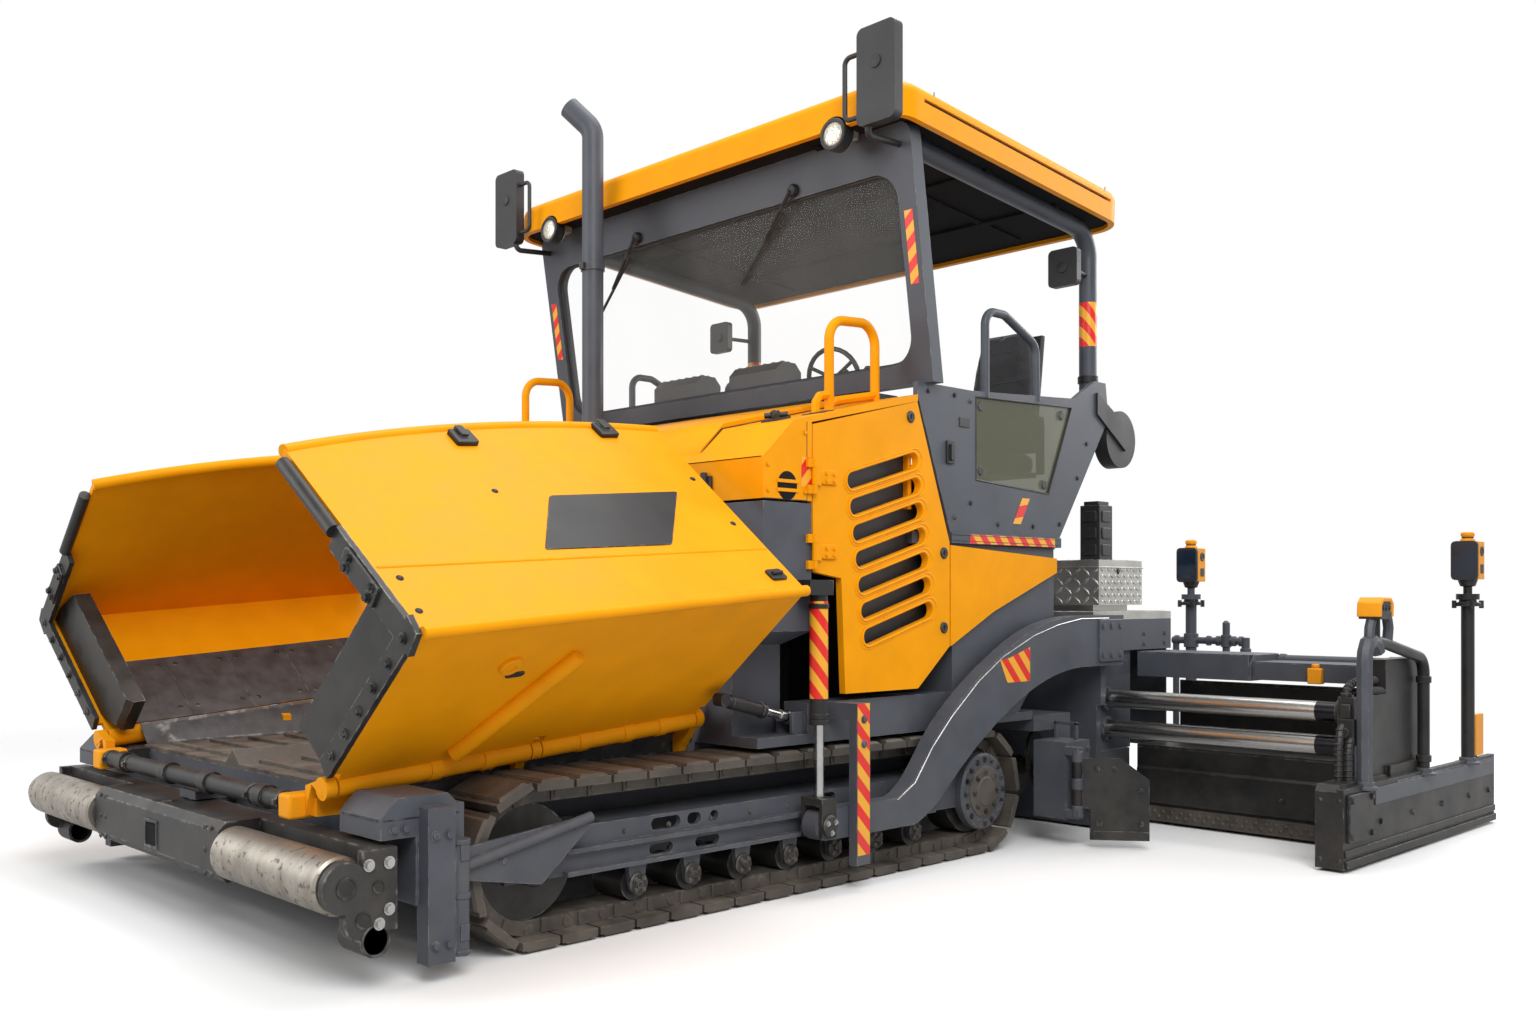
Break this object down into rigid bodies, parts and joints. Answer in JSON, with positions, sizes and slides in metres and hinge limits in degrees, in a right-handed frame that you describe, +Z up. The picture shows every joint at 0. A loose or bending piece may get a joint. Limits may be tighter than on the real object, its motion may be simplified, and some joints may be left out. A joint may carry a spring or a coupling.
{
  "type": "tracked asphalt paver",
  "caption": "Tracked asphalt paver with folding hopper wings, push rollers, roofed platform, augers and a screed that lifts on tow arms and slides out at both sides.",
  "frame": {"origin": "on the ground under the middle of the machine's bounding box", "axes": "+X forward towards the hopper, +Y to the machine's left, +Z up"},
  "size_m": [6.3, 5.15, 3.8096],
  "materials": {
    "yellow_paint": "satin",
    "slate_paint": "satin",
    "black_paint": "satin",
    "worn_steel": "worn",
    "bright_steel": "brushed",
    "track_steel": "worn",
    "black_plastic": "matte",
    "seat_cover": "matte",
    "tinted_glass": "gloss",
    "clear_glass": "gloss",
    "chequer_plate": "brushed",
    "lamp": "gloss"
  },
  "bodies": {
    "tractor": {"auger_frame": "slate_paint", "chassis_frame": "slate_paint", "door_hinges": "yellow_paint", "engine_block": "black_paint", "engine_frame": "slate_paint", "exhaust_stack": "slate_paint", "front_crossbeam": "slate_paint", "guide_posts": "slate_paint", "hood": "yellow_paint", "hopper_floor": "worn_steel", "hopper_mouth_tube": "black_paint", "hose_reels": "black_plastic", "levelling_cylinders": "black_paint", "lifting_loops": "yellow_paint", "mirrors": "black_plastic", "operator_console": "black_plastic", "platform_floor": "slate_paint", "platform_glass": "tinted_glass", "platform_sides": "slate_paint", "rear_fenders": "yellow_paint", "rear_roof_posts": "slate_paint", "roof_cover": "yellow_paint", "roof_lamps": "lamp", "roof_lining": "black_paint", "seat_left": "seat_cover", "seat_right": "seat_cover", "tank_housing": "slate_paint", "track_frames": "slate_paint", "track_left": "track_steel", "track_right": "track_steel", "track_wheels": "worn_steel", "windscreen": "clear_glass", "windscreen_frame": "slate_paint", "wing_hinges": "yellow_paint"},
    "wing_left": {"wing_left": "yellow_paint", "wing_edge_left": "worn_steel"},
    "wing_cylinder_left": {"wing_cylinder_left": "black_paint"},
    "wing_cylinder_rod_left": {"wing_cylinder_rod_left": "bright_steel"},
    "push_roller_left": {"push_roller_left": "bright_steel"},
    "engine_door_left": {"engine_door_left": "yellow_paint"},
    "auger_left": {"auger_left": "worn_steel"},
    "tunnel_plate_left": {"tunnel_plate_left": "black_paint"},
    "extension_left": {"extension_left": "black_paint", "extension_tubes_left": "bright_steel"},
    "wing_right": {"wing_right": "yellow_paint", "wing_edge_right": "worn_steel"},
    "wing_cylinder_right": {"wing_cylinder_right": "black_paint"},
    "wing_cylinder_rod_right": {"wing_cylinder_rod_right": "bright_steel"},
    "push_roller_right": {"push_roller_right": "bright_steel"},
    "engine_door_right": {"engine_door_right": "yellow_paint"},
    "auger_right": {"auger_right": "worn_steel"},
    "tunnel_plate_right": {"tunnel_plate_right": "black_paint"},
    "extension_right": {"extension_right": "black_paint", "extension_tubes_right": "bright_steel"},
    "push_beam": {"push_beam": "black_paint"},
    "screed": {"tow_arms": "slate_paint", "screed_main": "slate_paint", "screed_walkway": "chequer_plate", "screed_rear_cover": "slate_paint"}
  },
  "joints": [
    {"name": "wing_fold_left", "type": "hinge", "parent": "tractor", "child": "wing_left", "pos_m": [2.94, 0.985, 0.585], "axis": [0.9971, 0, -0.0767], "range_deg": [-12, 35]},
    {"name": "wing_cylinder_swing_left", "type": "hinge", "parent": "tractor", "child": "wing_cylinder_rod_left", "pos_m": [0.935, 1.165, 0.705], "axis": [0.1952, -0.7231, -0.6625], "range_deg": [-5.7, 16.5]},
    {"name": "wing_cylinder_stroke_left", "type": "slide", "parent": "wing_cylinder_rod_left", "child": "wing_cylinder_left", "axis": [0.9731, 0.0586, 0.2228], "range_m": [-0.0155, 0.0445]},
    {"name": "push_roller_spin_left", "type": "hinge", "parent": "push_beam", "child": "push_roller_left", "pos_m": [3.06, 0.928, 0.335], "axis": [0, 1, 0], "continuous": true},
    {"name": "engine_door_swing_left", "type": "hinge", "parent": "tractor", "child": "engine_door_left", "pos_m": [0.898, 1.275, 1.45], "axis": [0, 0, -1], "range_deg": [0, 90]},
    {"name": "auger_spin_left", "type": "hinge", "parent": "tractor", "child": "auger_left", "pos_m": [-1.055, 0.67, 0.33], "axis": [0, 1, 0], "continuous": true},
    {"name": "tunnel_plate_swing_left", "type": "hinge", "parent": "tractor", "child": "tunnel_plate_left", "pos_m": [-0.8, 1.455, 0.3], "axis": [0, 0, -1], "range_deg": [0, 50]},
    {"name": "extension_slide_left", "type": "slide", "parent": "screed", "child": "extension_left", "axis": [0, 1, 0], "range_m": [-1.12, 0]},
    {"name": "wing_fold_right", "type": "hinge", "parent": "tractor", "child": "wing_right", "pos_m": [2.94, -0.985, 0.585], "axis": [-0.9971, 0, 0.0767], "range_deg": [-12, 35]},
    {"name": "wing_cylinder_swing_right", "type": "hinge", "parent": "tractor", "child": "wing_cylinder_rod_right", "pos_m": [0.935, -1.165, 0.705], "axis": [-0.1952, -0.7231, 0.6625], "range_deg": [-5.7, 16.5]},
    {"name": "wing_cylinder_stroke_right", "type": "slide", "parent": "wing_cylinder_rod_right", "child": "wing_cylinder_right", "axis": [0.9731, -0.0586, 0.2228], "range_m": [-0.0155, 0.0445]},
    {"name": "push_roller_spin_right", "type": "hinge", "parent": "push_beam", "child": "push_roller_right", "pos_m": [3.06, -0.928, 0.335], "axis": [0, 1, 0], "continuous": true},
    {"name": "engine_door_swing_right", "type": "hinge", "parent": "tractor", "child": "engine_door_right", "pos_m": [0.898, -1.275, 1.45], "axis": [0, 0, 1], "range_deg": [0, 90]},
    {"name": "auger_spin_right", "type": "hinge", "parent": "tractor", "child": "auger_right", "pos_m": [-1.055, -0.67, 0.33], "axis": [0, 1, 0], "continuous": true},
    {"name": "tunnel_plate_swing_right", "type": "hinge", "parent": "tractor", "child": "tunnel_plate_right", "pos_m": [-0.8, -1.455, 0.3], "axis": [0, 0, 1], "range_deg": [0, 50]},
    {"name": "extension_slide_right", "type": "slide", "parent": "screed", "child": "extension_right", "axis": [0, -1, 0], "range_m": [-1.12, 0]},
    {"name": "push_beam_swing", "type": "hinge", "parent": "tractor", "child": "push_beam", "pos_m": [2.935, 0, 0.33], "axis": [0, 0, 1], "range_deg": [-3, 3]},
    {"name": "screed_lift", "type": "hinge", "parent": "tractor", "child": "screed", "pos_m": [0.915, 0, 0.285], "axis": [0, 1, 0], "range_deg": [0, 8]}
  ],
  "couplings": [
    {"joint": "wing_cylinder_swing_left", "follows": "wing_fold_left", "ratio": 0.46921},
    {"joint": "wing_cylinder_stroke_left", "follows": "wing_fold_left", "m_per_rad": 0.07177},
    {"joint": "wing_cylinder_swing_right", "follows": "wing_fold_right", "ratio": 0.46921},
    {"joint": "wing_cylinder_stroke_right", "follows": "wing_fold_right", "m_per_rad": 0.07177}
  ]
}
